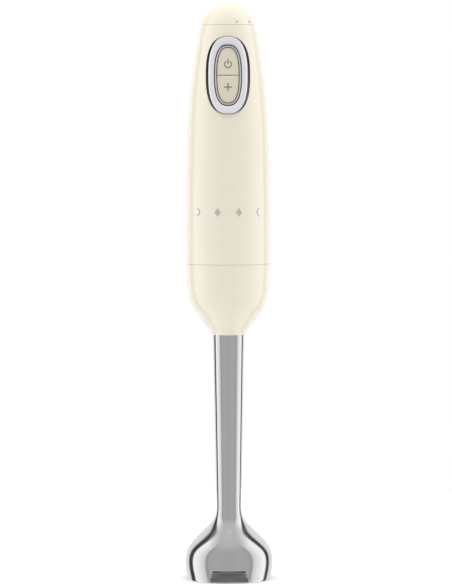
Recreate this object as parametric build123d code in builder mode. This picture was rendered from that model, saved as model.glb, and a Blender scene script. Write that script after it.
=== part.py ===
"""Corded immersion blender: a tapered motor handle over a detachable steel blending leg.

Millimetres, +Z up. The blender stands on the rim of its bell, and the origin is that rim's centre.
The buttons face -Y. Angles "round" the handle are measured from the front, -Y, towards +X.
"""

import math
import os

from build123d import *

os.makedirs("parts", exist_ok=True)

# ---------------------------------------------------------------- driving dimensions
TOP_Z = 405.0
DIAL_SEAM_Z = 388.0  # dial meets casing
LEG_SEAM_Z = 221.5  # casing meets leg collar
COLLAR_LOW_Z = 171.8  # collar meets bare tube
SEAM_GAP = 0.16
PARTING_GAP = 0.1
HANDLE_R = 29.4
WALL = 2.4
FIT = 0.04  # radial clearance of a running fit

HANDLE_OUTLINE = [
    (HANDLE_R, LEG_SEAM_Z),
    (HANDLE_R, 238),
    (28.7, 294),
    (25.8, 346),
    (21.0, 378),
    (18.6, 388.7),
    (12.9, 399),
    (0, TOP_Z),
]
COLLAR_OUTLINE = [
    (11.5, COLLAR_LOW_Z),
    (13.3, 175),
    (18.5, 182),
    (23.5, 189),
    (27.0, 196.5),
    (28.7, 210),
    (HANDLE_R, LEG_SEAM_Z),
]

# panel with its two buttons: half sizes of concentric upright ovals
PANEL_Z = 352.8  # its centre, where the buttons meet
OVAL_POWER = 2.6  # 2 is an ellipse, and more is squarer
BEZEL_X, BEZEL_Z = 15.4, 26.95
BEZEL_LIP = 1.3  # how far the bezel laps the casing
LIP_DEPTH = 0.8
BEZEL_RAISE = 1.6
RING_X, RING_Z = 9.4, 20.95
RING_WALL = 1.6
RING_RAISE = 0.9
BUTTON_GAP = 0.3
SPLIT_GAP = 0.4
BUTTON_TRAVEL = 1.5
FLANGE = 1.0
PANEL_BACK_Y = -16.5

# leg and spindle
TUBE_R = 11.0
TUBE_WALL = 0.9
TUBE_TOP_Z = 205.0
NECK_Z = 52.0  # tube meets bell
RIM_R = 28.9
BELL_R, BELL_WIDEST_Z = 30.6, 13.0
DRIVE_SHAFT_R = 3.0

# motor
CAN_R = 21.5
CAN_WALL = 1.2
CAN_LOW_Z, CAN_HIGH_Z = 254.5, 314.0
MOTOR_SHAFT_R = 2.5
PILLAR_RING_R = 19.5

FROM_LOW = (Align.CENTER, Align.CENTER, Align.MIN)

# ---------------------------------------------------------------- helpers


def level(z):
    return Plane.XY.offset(z)


def front_plane(y, x=0, z=0):
    """Upright plane drawn in X and Z, with its normal towards the front."""
    return Plane(origin=(x, y, z), x_dir=(1, 0, 0), z_dir=(0, -1, 0))


def round_plane(angle, radius, z):
    """Plane that faces outwards at an angle round the handle, with its own y upwards."""
    turn = math.radians(angle)
    out = Vector(math.sin(turn), -math.cos(turn), 0)
    return Plane(origin=out * radius + Vector(0, 0, z), x_dir=(-out.Y, out.X, 0), z_dir=out)


def disc(z, radius, height, mode=Mode.ADD):
    """Upright round bar on the axis, in the part being made."""
    with Locations((0, 0, z)):
        Cylinder(radius, height, align=FROM_LOW, mode=mode)


def ring(z, outer_r, inner_r, height, mode=Mode.ADD):
    """Upright ring on the axis, in the part being made."""
    with BuildSketch(level(z)) as section:
        Circle(outer_r)
        Circle(inner_r, mode=Mode.SUBTRACT)
    extrude(section.sketch, amount=height, mode=mode)


def rod(plane, radius, length, mode=Mode.ADD):
    """Round bar along a plane's normal, in the part being made."""
    with BuildSketch(plane) as section:
        Circle(radius)
    extrude(section.sketch, amount=length, mode=mode)


def oval(half_x, half_z, back_y, front_y, mode=Mode.ADD):
    """Upright oval bar through the panel's centre, fuller than an ellipse, in the part being made."""
    points = []
    for step in range(32):
        across = math.cos(math.tau * step / 32)
        up = math.sin(math.tau * step / 32)
        x = half_x * math.copysign(abs(across) ** (2 / OVAL_POWER), across)
        points.append((x, PANEL_Z + half_z * math.copysign(abs(up) ** (2 / OVAL_POWER), up)))
    with BuildSketch(front_plane(back_y)) as section:
        with BuildLine() as edge:
            Spline(*points, periodic=True)
        make_face(edge.edges())
    extrude(section.sketch, amount=back_y - front_y, mode=mode)


def pie(radius, start, end):
    """Slice about the axis, in the sketch being drawn, between angles from its x."""
    with BuildLine() as edge:
        rim = CenterArc((0, 0), radius, start, end - start)
        Polyline(rim @ 1, (0, 0), rim @ 0)
    make_face(edge.edges())


def inset_points(line, inset, steps):
    """Points of an outline that runs upwards, moved inwards square to it."""
    points = []
    for step in range(steps + 1):
        at = line @ (step / steps)
        along = line % (step / steps)
        points.append((max(at.X - inset * along.Z, 0), at.Z + inset * along.X))
    return points


def turned_form(line, inset, steps, *closing):
    """Solid of revolution inside an outline that is inset by so much."""
    ends = [((line % end).X, (line % end).Z) for end in (0, 1)]
    with BuildPart() as form:
        with BuildSketch(Plane.XZ):
            with BuildLine():
                side = Spline(*inset_points(line, inset, steps), tangents=ends)
                Polyline(side @ 1, *closing, side @ 0)
            make_face()
        revolve(axis=Axis.Z)
    return form.part


# ---------------------------------------------------------------- outer forms
with BuildLine(Plane.XZ):
    handle_line = Spline(*HANDLE_OUTLINE, tangents=[(0, 1), (-1, 0)])
with BuildLine(Plane.XZ):
    collar_line = Spline(*COLLAR_OUTLINE, tangents=[(0.25, 1), (0.08, 1)])


def handle_form(inset):
    """Handle and dial as one solid, with the skin moved inwards by inset."""
    return turned_form(handle_line, inset, 24, (0, LEG_SEAM_Z))


def collar_form(inset):
    """Leg collar as one solid, with the skin moved inwards by inset."""
    return turned_form(collar_line, inset, 14, (0, LEG_SEAM_Z), (0, COLLAR_LOW_Z))


def handle_radius(z):
    """Outer radius of the handle at a height, found by halving."""
    low, high = 0.0, 1.0
    for _ in range(30):
        middle = (low + high) / 2
        if (handle_line @ middle).Z < z:
            low = middle
        else:
            high = middle
    return (handle_line @ low).X


handle_skin = handle_form(0)
handle_cavity = handle_form(WALL)
rib_limit = handle_form(WALL - 0.2)  # ribs and bosses sink this little into the wall

# ---------------------------------------------------------------- casing features
BOSS_R = 2.9
SHELL_SCREWS = [(-12.5, 326), (12.5, 326), (-11, 373.5), (11, 373.5)]  # x, z
SCREW_R = 1.25
SCREW_HEAD_R = 2.4
HEAD_SEAT_Y = 5.0
SEAT_LOW_Z = 381.5
SEAT_THICK = 3.0
SEAT_R = 16.2
GLAND_Z = 364.0
GLAND_R = 5.4
GLAND_BORE_R = 3.3
GLAND_INNER_Y = 15.0
GLAND_LENGTH = 12.8
GRIP_Z = 319.0
GRIP_HALF_X, GRIP_HALF_Z = 17.0, 63.0
GRIP_DEPTH = 1.2
GRIP_RAISE = 0.5
GROOVE_R = 0.55
GROOVE_LOW_Z = 264.0
GROOVE_PITCH = 5.0
GROOVE_COUNT = 17
STUD_Z = 258.0
STUD_ANGLES = [-46.5, -15.5, 15.5, 46.5]
STUD_HALF_X, STUD_HALF_Z = 2.8, 3.1
STUD_SUNK = 0.6
STUD_RAISE = 0.5
VENT_Z = 247.0
VENT_HEIGHT, VENT_WIDTH = 8.0, 2.0
INTAKE_Z = 376.0
INTAKE_HEIGHT, INTAKE_WIDTH = 5.0, 1.6
INTAKE_ANGLES = [104, 111, 118, 242, 249, 256]

with BuildPart() as trim_studs:
    for angle in STUD_ANGLES:
        with BuildSketch(round_plane(angle, handle_radius(STUD_Z) - STUD_SUNK, STUD_Z)):
            with BuildLine():
                Polyline(
                    (0, STUD_HALF_Z),
                    (STUD_HALF_X, 0),
                    (0, -STUD_HALF_Z),
                    (-STUD_HALF_X, 0),
                    close=True,
                )
            make_face()
            fillet(vertices(), radius=0.5)
        extrude(amount=STUD_SUNK + STUD_RAISE)

# bosses for the casing screws, and the groove that traps the dial seat
with BuildPart() as casing_ribs:
    with BuildSketch(Plane.XZ):
        for x, z in SHELL_SCREWS:
            with Locations((x, z)):
                Circle(BOSS_R)
    extrude(amount=34, both=True)
    ring(SEAT_LOW_Z - 1.6, 19, 14.4, 1.6)
    ring(SEAT_LOW_Z, 19, SEAT_R + 0.05, SEAT_THICK)
    ring(SEAT_LOW_Z + SEAT_THICK, 19, 15.9, 1.4)
    add(rib_limit, mode=Mode.INTERSECT)

with BuildPart() as casing:
    add(handle_skin)
    add(handle_cavity, mode=Mode.SUBTRACT)
    add(casing_ribs.part)
    split(bisect_by=level(DIAL_SEAM_Z - SEAM_GAP / 2), keep=Keep.BOTTOM)
    split(bisect_by=level(LEG_SEAM_Z + SEAM_GAP / 2), keep=Keep.TOP)

with BuildPart() as lip_recess:
    oval(BEZEL_X, BEZEL_Z, -8, -34)
    add(handle_form(LIP_DEPTH), mode=Mode.SUBTRACT)

with BuildPart() as front_shell:
    add(casing.part)
    split(bisect_by=front_plane(-PARTING_GAP / 2), keep=Keep.TOP)
    for x, z in SHELL_SCREWS:
        rod(front_plane(0, x, z), SCREW_R, 8, mode=Mode.SUBTRACT)
    add(lip_recess.part, mode=Mode.SUBTRACT)
    oval(BEZEL_X - BEZEL_LIP, BEZEL_Z - BEZEL_LIP, -5, -34, mode=Mode.SUBTRACT)
    add(trim_studs.part, mode=Mode.SUBTRACT)

grip_back = handle_form(GRIP_DEPTH)
with BuildPart() as grip_recess:
    with BuildSketch(front_plane(0)):
        with Locations((0, GRIP_Z)):
            SlotOverall(2 * GRIP_HALF_Z, 2 * GRIP_HALF_X, rotation=90)
    extrude(amount=-36)
    add(grip_back, mode=Mode.SUBTRACT)

with BuildPart() as rear_shell:
    add(casing.part)
    split(bisect_by=front_plane(PARTING_GAP / 2), keep=Keep.BOTTOM)
    add(grip_recess.part, mode=Mode.SUBTRACT)
    for x, z in SHELL_SCREWS:
        rod(front_plane(0, x, z), SCREW_R + 0.15, -36, mode=Mode.SUBTRACT)
        rod(front_plane(HEAD_SEAT_Y, x, z), SCREW_HEAD_R + 0.15, -30, mode=Mode.SUBTRACT)
    rod(front_plane(10, 0, GLAND_Z), GLAND_R + 0.02, -24, mode=Mode.SUBTRACT)
    for step in range(-3, 4):
        with BuildSketch(round_plane(180 + 9 * step, 20, VENT_Z)):
            SlotOverall(VENT_HEIGHT, VENT_WIDTH, rotation=90)
        extrude(amount=15, mode=Mode.SUBTRACT)
    for angle in INTAKE_ANGLES:
        with BuildSketch(round_plane(angle, 17, INTAKE_Z)):
            SlotOverall(INTAKE_HEIGHT, INTAKE_WIDTH, rotation=90)
        extrude(amount=15, mode=Mode.SUBTRACT)

with BuildPart() as rear_grip:
    with BuildSketch(front_plane(0)):
        with Locations((0, GRIP_Z)):
            SlotOverall(2 * GRIP_HALF_Z - 0.1, 2 * GRIP_HALF_X - 0.1, rotation=90)
    extrude(amount=-36)
    add(handle_form(-GRIP_RAISE), mode=Mode.INTERSECT)
    add(grip_back, mode=Mode.SUBTRACT)
    rod(front_plane(10, 0, GLAND_Z), GLAND_R + 0.02, -24, mode=Mode.SUBTRACT)
    for step in range(GROOVE_COUNT):
        groove_z = GROOVE_LOW_Z + step * GROOVE_PITCH
        with Locations((0, 0, groove_z)):
            Torus(handle_radius(groove_z) + GRIP_RAISE, GROOVE_R, mode=Mode.SUBTRACT)

with BuildPart() as shell_screws:
    for x, z in SHELL_SCREWS:
        rod(front_plane(HEAD_SEAT_Y, x, z), SCREW_R - 0.02, 12)
        rod(front_plane(HEAD_SEAT_Y, x, z), SCREW_HEAD_R, -2)
        for turn in (0, 90):
            with BuildSketch(front_plane(HEAD_SEAT_Y + 2, x, z)):
                Rectangle(2.8, 0.5, rotation=turn)
            extrude(amount=1, mode=Mode.SUBTRACT)

with BuildPart() as cord_gland:
    rod(front_plane(GLAND_INNER_Y, 0, GLAND_Z), GLAND_R, -GLAND_LENGTH)
    rod(front_plane(GLAND_INNER_Y, 0, GLAND_Z), GLAND_R + 1.8, -2.5)
    fillet(cord_gland.edges().group_by(Axis.Y)[-1], radius=1.0)
    rod(front_plane(GLAND_INNER_Y, 0, GLAND_Z), GLAND_BORE_R, -GLAND_LENGTH, mode=Mode.SUBTRACT)

# ---------------------------------------------------------------- panel and buttons
BEZEL_FIT = 0.03
with BuildPart() as bezel_stock:
    oval(BEZEL_X - BEZEL_FIT, BEZEL_Z - BEZEL_FIT, -8, -34)
    add(handle_form(LIP_DEPTH - BEZEL_FIT), mode=Mode.SUBTRACT)
    oval(BEZEL_X - BEZEL_LIP - BEZEL_FIT, BEZEL_Z - BEZEL_LIP - BEZEL_FIT, PANEL_BACK_Y, -34)

with BuildPart() as bezel:
    add(bezel_stock.part)
    add(handle_form(-BEZEL_RAISE), mode=Mode.INTERSECT)
    oval(RING_X + BEZEL_FIT, RING_Z + BEZEL_FIT, 0, -34, mode=Mode.SUBTRACT)

with BuildPart() as bezel_ring:
    oval(RING_X, RING_Z, PANEL_BACK_Y, -34)
    add(handle_form(-RING_RAISE), mode=Mode.INTERSECT)
    oval(RING_X - RING_WALL, RING_Z - RING_WALL, 0, -34, mode=Mode.SUBTRACT)

BUTTON_X = RING_X - RING_WALL - BUTTON_GAP
BUTTON_Z = RING_Z - RING_WALL - BUTTON_GAP
FLANGE_FRONT_Y = PANEL_BACK_Y + 0.05
MAT_FRONT_Y = PANEL_BACK_Y + FLANGE
MAT = 1.0
POWER_OFFSET, BOOST_OFFSET = 7.6, 8.2  # from the split to each symbol's centre
SYMBOL_SPAN = 5.6
SYMBOL_STROKE = 0.9
SYMBOL_DEPTH = 0.3

with BuildPart() as button_blank:
    oval(BUTTON_X, BUTTON_Z, FLANGE_FRONT_Y, -34)
    add(handle_skin, mode=Mode.INTERSECT)
    oval(BUTTON_X + FLANGE, BUTTON_Z + FLANGE, MAT_FRONT_Y, FLANGE_FRONT_Y)

with BuildPart() as symbol_layer:
    add(handle_skin)
    add(handle_form(SYMBOL_DEPTH), mode=Mode.SUBTRACT)

with BuildPart() as power_symbol:
    with BuildSketch(front_plane(-10, 0, PANEL_Z + POWER_OFFSET)):
        Circle(SYMBOL_SPAN / 2)
        Circle(SYMBOL_SPAN / 2 - SYMBOL_STROKE, mode=Mode.SUBTRACT)
        with Locations((0, 2)):
            Rectangle(2.5, 3.4, mode=Mode.SUBTRACT)
            Rectangle(SYMBOL_STROKE, 3.4)
    extrude(amount=20)
    add(symbol_layer.part, mode=Mode.INTERSECT)

with BuildPart() as boost_symbol:
    with BuildSketch(front_plane(-10, 0, PANEL_Z - BOOST_OFFSET)):
        Rectangle(SYMBOL_SPAN, SYMBOL_STROKE)
        Rectangle(SYMBOL_STROKE, SYMBOL_SPAN)
    extrude(amount=20)
    add(symbol_layer.part, mode=Mode.INTERSECT)

with BuildPart() as power_button:
    add(button_blank.part)
    split(bisect_by=level(PANEL_Z + SPLIT_GAP / 2), keep=Keep.TOP)
    add(power_symbol.part, mode=Mode.SUBTRACT)

with BuildPart() as boost_button:
    add(button_blank.part)
    split(bisect_by=level(PANEL_Z - SPLIT_GAP / 2), keep=Keep.BOTTOM)
    add(boost_symbol.part, mode=Mode.SUBTRACT)

MAT_X = BEZEL_X - BEZEL_LIP - 1.0
MAT_Z = BEZEL_Z - BEZEL_LIP - 1.0
MAT_REBATE = FLANGE + 0.5
with BuildPart() as button_mat:
    oval(MAT_X, MAT_Z, MAT_FRONT_Y + MAT, PANEL_BACK_Y)
    oval(BUTTON_X + MAT_REBATE, BUTTON_Z + MAT_REBATE, MAT_FRONT_Y, PANEL_BACK_Y, mode=Mode.SUBTRACT)

# ---------------------------------------------------------------- switches and control board
BOARD_FRONT_Y = -8.6
BOARD_THICK = 1.6
BOARD_BACK_Y = BOARD_FRONT_Y + BOARD_THICK
BOARD_HALF_X = 13.2
BOARD_LOW_Z, BOARD_HIGH_Z = 331.0, 369.0
SWITCH_OFFSET = 9.2
SWITCH_SIDE = 6.0
SWITCH_FRONT_Y = -12.6
PLUNGER_R = 1.7
PLUNGER_FRONT_Y = MAT_FRONT_Y + MAT
PLUNGER_BACK_Y = -10.8
WELL_BACK_Y = PLUNGER_BACK_Y + BUTTON_TRAVEL + 0.2


def switch_body(z):
    """Push switch standing on the board, with a round well for its plunger."""
    with BuildSketch(front_plane(BOARD_FRONT_Y, 0, z)) as section:
        RectangleRounded(SWITCH_SIDE, SWITCH_SIDE, 0.5)
    extrude(section.sketch, amount=BOARD_FRONT_Y - SWITCH_FRONT_Y)
    rod(front_plane(WELL_BACK_Y, 0, z), PLUNGER_R + FIT, 6, mode=Mode.SUBTRACT)


def switch_plunger(z):
    """Pin that a button pushes into its switch."""
    rod(front_plane(PLUNGER_BACK_Y, 0, z), PLUNGER_R, PLUNGER_BACK_Y - PLUNGER_FRONT_Y)


with BuildPart() as power_switch:
    switch_body(PANEL_Z + SWITCH_OFFSET)
with BuildPart() as boost_switch:
    switch_body(PANEL_Z - SWITCH_OFFSET)
with BuildPart() as power_plunger:
    switch_plunger(PANEL_Z + SWITCH_OFFSET)
with BuildPart() as boost_plunger:
    switch_plunger(PANEL_Z - SWITCH_OFFSET)

with BuildPart() as control_board:
    with BuildSketch(front_plane(BOARD_BACK_Y, 0, (BOARD_LOW_Z + BOARD_HIGH_Z) / 2)):
        RectangleRounded(2 * BOARD_HALF_X, BOARD_HIGH_Z - BOARD_LOW_Z, 1.5)
    extrude(amount=BOARD_THICK)

CAPACITOR_R = 4.4
with BuildPart() as capacitor:
    with Locations((-7.5, BOARD_BACK_Y + CAPACITOR_R, 339)):
        Cylinder(CAPACITOR_R, 15, align=FROM_LOW)
    fillet(capacitor.edges().filter_by(GeomType.CIRCLE), radius=0.6)

CHIP_SIDE = 9.5
CHIP_THICK = 3.2
SINK_LOW_Z = 357.0
SINK_FRONT_Y = BOARD_BACK_Y + CHIP_THICK
SINK_PLATE = 1.6
FIN_LENGTH = 5.2
with BuildPart() as power_transistor:
    with Locations((0, BOARD_BACK_Y + CHIP_THICK / 2, SINK_LOW_Z + 0.7)):
        Box(CHIP_SIDE, CHIP_THICK, CHIP_SIDE, align=FROM_LOW)

with BuildPart() as heat_sink:
    with BuildSketch(level(SINK_LOW_Z)):
        with Locations((0, SINK_FRONT_Y + SINK_PLATE / 2)):
            Rectangle(16, SINK_PLATE)
        with Locations((0, SINK_FRONT_Y + SINK_PLATE + FIN_LENGTH / 2 - 0.1)):
            with GridLocations(3.7, 1, 5, 1):
                Rectangle(1.0, FIN_LENGTH)
    extrude(amount=11)

# ---------------------------------------------------------------- dial
SKIRT_OUTER_R, SKIRT_INNER_R = 15.6, 14.3
SKIRT_LOW_Z = SEAT_LOW_Z + SEAT_THICK + 0.7
SKIRT_HIGH_Z = 391.5
DIAL_WALL = 2.2
POT_R = 8.0
POT_LOW_Z = 371.5
POT_SHAFT_R = 3.0
POT_SHAFT_HIGH_Z = 398.0
FLAT_X = 1.6  # from the shaft's axis to its flat
BUSHING_R = 3.8
BUSHING_HIGH_Z = 388.0
HUB_R = 5.2
HUB_LOW_Z = 389.4
DOT_ANGLES = [20, 55, 90, 125, 160]  # round the dial, with the dial at its lowest speed
DOT_RADII = [0.6, 0.75, 0.9, 1.05, 1.2]
DOT_Z = 390.0
DOT_RAISE = 0.05
DOT_DEPTH = 0.8
DETENT_ANGLE = 90
DETENT_NOTCH_R = 0.9
SPRING_R = 12.6
SPRING_THICK = 0.4
SPRING_HALF_ANGLE = 34
SPRING_LOW_Z = SKIRT_LOW_Z + 0.3
SPRING_HEIGHT = 2.6
SPRING_NOSE_R = 0.85
POST_R = 1.1
POST_HEIGHT = 3.4

with BuildPart() as speed_dots:
    for angle, radius in zip(DOT_ANGLES, DOT_RADII):
        rod(round_plane(angle, 14, DOT_Z), radius, 6)
    add(handle_form(-DOT_RAISE), mode=Mode.INTERSECT)
    add(handle_form(DOT_DEPTH), mode=Mode.SUBTRACT)

with BuildPart() as speed_dial:
    add(handle_skin)
    add(handle_form(DIAL_WALL), mode=Mode.SUBTRACT)
    split(bisect_by=level(DIAL_SEAM_Z + SEAM_GAP / 2), keep=Keep.TOP)
    ring(SKIRT_LOW_Z, SKIRT_OUTER_R, SKIRT_INNER_R, SKIRT_HIGH_Z - SKIRT_LOW_Z)
    disc(HUB_LOW_Z, HUB_R, TOP_Z - DIAL_WALL - HUB_LOW_Z)
    for angle in [0] + DOT_ANGLES:
        with Locations(round_plane(DETENT_ANGLE + angle, SKIRT_INNER_R, SKIRT_LOW_Z).origin):
            Cylinder(DETENT_NOTCH_R, POST_HEIGHT, align=FROM_LOW, mode=Mode.SUBTRACT)
    with BuildSketch(level(HUB_LOW_Z)):
        Circle(POT_SHAFT_R + 0.01)
        with Locations((FLAT_X + 0.01, 0)):
            Rectangle(4, 8, align=(Align.MIN, Align.CENTER), mode=Mode.SUBTRACT)
    extrude(amount=POT_SHAFT_HIGH_Z + 0.3 - HUB_LOW_Z, mode=Mode.SUBTRACT)
    add(speed_dots.part, mode=Mode.SUBTRACT)

with BuildPart() as detent_spring:
    with BuildSketch(level(SPRING_LOW_Z)):
        pie(SPRING_R + SPRING_THICK / 2, -SPRING_HALF_ANGLE, SPRING_HALF_ANGLE)
        Circle(SPRING_R - SPRING_THICK / 2, mode=Mode.SUBTRACT)
        with Locations((SKIRT_INNER_R - SPRING_NOSE_R + 0.1, 0)):
            Circle(SPRING_NOSE_R)
    extrude(amount=SPRING_HEIGHT)

with BuildPart() as dial_seat:
    disc(SEAT_LOW_Z, SEAT_R, SEAT_THICK)
    for side in (-1, 1):
        post_angle = DETENT_ANGLE + side * (SPRING_HALF_ANGLE - 2)
        with Locations(round_plane(post_angle, SPRING_R, SEAT_LOW_Z + SEAT_THICK).origin):
            Cylinder(POST_R, POST_HEIGHT, align=FROM_LOW)
    disc(SEAT_LOW_Z, BUSHING_R + 0.03, SEAT_THICK, mode=Mode.SUBTRACT)
    add(detent_spring.part, mode=Mode.SUBTRACT)

with BuildPart() as potentiometer:
    disc(POT_LOW_Z, POT_R, SEAT_LOW_Z - POT_LOW_Z)
    disc(SEAT_LOW_Z, BUSHING_R, BUSHING_HIGH_Z - SEAT_LOW_Z)
    disc(POT_LOW_Z + 2, POT_SHAFT_R + FIT, 30, mode=Mode.SUBTRACT)

with BuildPart() as potentiometer_nut:
    with BuildSketch(level(SEAT_LOW_Z + SEAT_THICK)):
        RegularPolygon(5.2, 6, major_radius=False)
        Circle(BUSHING_R + 0.02, mode=Mode.SUBTRACT)
    extrude(amount=2.2)

with BuildPart() as potentiometer_shaft:
    disc(POT_LOW_Z + 2.1, POT_SHAFT_R, POT_SHAFT_HIGH_Z - POT_LOW_Z - 2.1)
    with BuildSketch(level(HUB_LOW_Z - 0.6)):
        with Locations((FLAT_X, 0)):
            Rectangle(4, 8, align=(Align.MIN, Align.CENTER))
    extrude(amount=20, mode=Mode.SUBTRACT)

# ---------------------------------------------------------------- motor
BEARING_R = 6.5
BEARING_THICK = 5.0
LOWER_BEARING_Z = 252.4
UPPER_BEARING_Z = 316.6
CORE_R = 14.6
CORE_LOW_Z, CORE_HIGH_Z = 262.0, 298.0
CORE_SLOTS = 12
SLOT_RING_R = 9.6
END_TURNS = 3.6
MAGNET_R = 15.3
COMMUTATOR_R = 9.5
COMMUTATOR_LOW_Z, COMMUTATOR_HIGH_Z = 304.6, 312.6
BRUSH_Z = 308.6
BRUSH_SIDE = 5.0
BRUSH_OUTER_X = 17.0
HOLDER_INNER_X, HOLDER_OUTER_X = 10.8, 17.9
LEAD_R = 0.8
LEAD_X, LEAD_Y = 4.0, 11.0
LEAD_TURN_Z = 334.5

with BuildPart() as motor_can:
    ring(CAN_LOW_Z, CAN_R, CAN_R - CAN_WALL, CAN_HIGH_Z - CAN_LOW_Z)
    disc(CAN_LOW_Z, CAN_R - 0.5, CAN_WALL)
    disc(LOWER_BEARING_Z - 0.8, BEARING_R + 1.2, 4)
    disc(LOWER_BEARING_Z - 0.8, 4.4, 6, mode=Mode.SUBTRACT)
    disc(LOWER_BEARING_Z, BEARING_R, 6, mode=Mode.SUBTRACT)
    with BuildSketch(level(CAN_LOW_Z)):
        with PolarLocations(PILLAR_RING_R, 4):
            Circle(SCREW_R + 0.02)
    extrude(amount=CAN_WALL, mode=Mode.SUBTRACT)

with BuildPart() as motor_magnets:
    with BuildSketch(level(259)):
        for start in (24, 204):
            pie(CAN_R - CAN_WALL - 0.02, start, start + 132)
        Circle(MAGNET_R, mode=Mode.SUBTRACT)
    extrude(amount=42)

with BuildPart() as lower_bearing:
    ring(LOWER_BEARING_Z, BEARING_R - 0.01, MOTOR_SHAFT_R + FIT, BEARING_THICK)
with BuildPart() as upper_bearing:
    ring(UPPER_BEARING_Z, BEARING_R - 0.01, MOTOR_SHAFT_R + FIT, BEARING_THICK)

with BuildPart() as motor_end_cap:
    disc(CAN_HIGH_Z, CAN_R, 2.4)
    disc(CAN_HIGH_Z, BEARING_R + 1.6, UPPER_BEARING_Z + BEARING_THICK - CAN_HIGH_Z)
    ring(CAN_HIGH_Z - 1.6, CAN_R - CAN_WALL - 0.05, 18.1, 1.6)
    disc(CAN_HIGH_Z - 2, MOTOR_SHAFT_R + 0.8, 20, mode=Mode.SUBTRACT)
    disc(UPPER_BEARING_Z, BEARING_R, 20, mode=Mode.SUBTRACT)
    for side in (-1, 1):
        with Locations((side * LEAD_X, LEAD_Y, CAN_HIGH_Z)):
            Cylinder(LEAD_R + 0.3, 3, align=FROM_LOW, mode=Mode.SUBTRACT)

with BuildPart() as brush_holders:
    for side in (-1, 1):
        with Locations((side * (HOLDER_INNER_X + HOLDER_OUTER_X) / 2, 0, BRUSH_Z)):
            Box(HOLDER_OUTER_X - HOLDER_INNER_X, BRUSH_SIDE + 1.6, BRUSH_SIDE + 1.6)
            Box(4, 3, CAN_HIGH_Z - BRUSH_Z, align=FROM_LOW)
            Box(10, BRUSH_SIDE + 0.1, BRUSH_SIDE + 0.1, mode=Mode.SUBTRACT)

with BuildPart() as carbon_brushes:
    for side in (-1, 1):
        with Locations((side * (COMMUTATOR_R + BRUSH_OUTER_X) / 2, 0, BRUSH_Z)):
            Box(BRUSH_OUTER_X - COMMUTATOR_R, BRUSH_SIDE, BRUSH_SIDE)
    disc(BRUSH_Z - 5, COMMUTATOR_R + FIT, 10, mode=Mode.SUBTRACT)

with BuildPart() as brush_springs:
    for side in (-1, 1):
        with BuildLine():
            coil = Helix(
                pitch=0.9,
                height=2.3,
                radius=1.6,
                center=(side * (BRUSH_OUTER_X + 0.4), 0, BRUSH_Z),
                direction=(side, 0, 0),
            )
        with BuildSketch(Plane(origin=coil @ 0, z_dir=coil % 0)):
            Circle(0.25)
        sweep(path=coil, is_frenet=True)

with BuildPart() as lower_cushion:
    ring(CAN_LOW_Z + 0.5, 26.4, CAN_R + 0.02, 9)
with BuildPart() as upper_cushion:
    ring(300, 25.2, CAN_R + 0.02, 9)

with BuildPart() as motor_leads:
    for side in (-1, 1):
        with BuildLine():
            lead = FilletPolyline(
                (side * LEAD_X, LEAD_Y, CAN_HIGH_Z),
                (side * LEAD_X, LEAD_Y, LEAD_TURN_Z),
                (side * LEAD_X, BOARD_BACK_Y, LEAD_TURN_Z),
                radius=8,
            )
        with BuildSketch(Plane(origin=lead @ 0, z_dir=lead % 0)):
            Circle(LEAD_R)
        sweep(path=lead)

MOTOR_SHAFT_LOW_Z, MOTOR_SHAFT_HIGH_Z = 234.0, 323.0
with BuildPart() as motor_shaft:
    disc(MOTOR_SHAFT_LOW_Z, MOTOR_SHAFT_R, MOTOR_SHAFT_HIGH_Z - MOTOR_SHAFT_LOW_Z)

with BuildPart() as armature_core:
    with BuildSketch(level(CORE_LOW_Z)):
        Circle(CORE_R)
        Circle(MOTOR_SHAFT_R, mode=Mode.SUBTRACT)
        with PolarLocations(SLOT_RING_R, CORE_SLOTS):
            SlotOverall(6.4, 2.8, mode=Mode.SUBTRACT)
        with PolarLocations(CORE_R, CORE_SLOTS):
            Rectangle(5.6, 1.2, mode=Mode.SUBTRACT)
    extrude(amount=CORE_HIGH_Z - CORE_LOW_Z)

with BuildPart() as armature_windings:
    for low_z in (CORE_LOW_Z - END_TURNS, CORE_HIGH_Z):
        ring(low_z, 13.0, 5.0, END_TURNS)
    fillet(armature_windings.edges().filter_by(GeomType.CIRCLE), radius=1.2)
    with BuildSketch(level(CORE_LOW_Z - 1)):
        with PolarLocations(SLOT_RING_R, CORE_SLOTS):
            SlotOverall(6.3, 2.7)
    extrude(amount=CORE_HIGH_Z - CORE_LOW_Z + 2)

with BuildPart() as commutator:
    ring(COMMUTATOR_LOW_Z, COMMUTATOR_R, MOTOR_SHAFT_R, COMMUTATOR_HIGH_Z - COMMUTATOR_LOW_Z)
    with BuildSketch(level(COMMUTATOR_LOW_Z)):
        with PolarLocations(COMMUTATOR_R, 2 * CORE_SLOTS):
            Rectangle(1.2, 0.4)
    extrude(amount=10, mode=Mode.SUBTRACT)

FAN_LOW_Z = 244.2
FAN_R = 17.0
FAN_BLADES = 11
with BuildPart() as cooling_fan:
    disc(FAN_LOW_Z, FAN_R, 1.0)
    disc(FAN_LOW_Z, 5.0, 6.6)
    with BuildSketch(level(FAN_LOW_Z)):
        with PolarLocations(10.4, FAN_BLADES):
            Rectangle(12.0, 1.0, rotation=18)
    extrude(amount=6.4)
    disc(FAN_LOW_Z, MOTOR_SHAFT_R, 8, mode=Mode.SUBTRACT)

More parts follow.
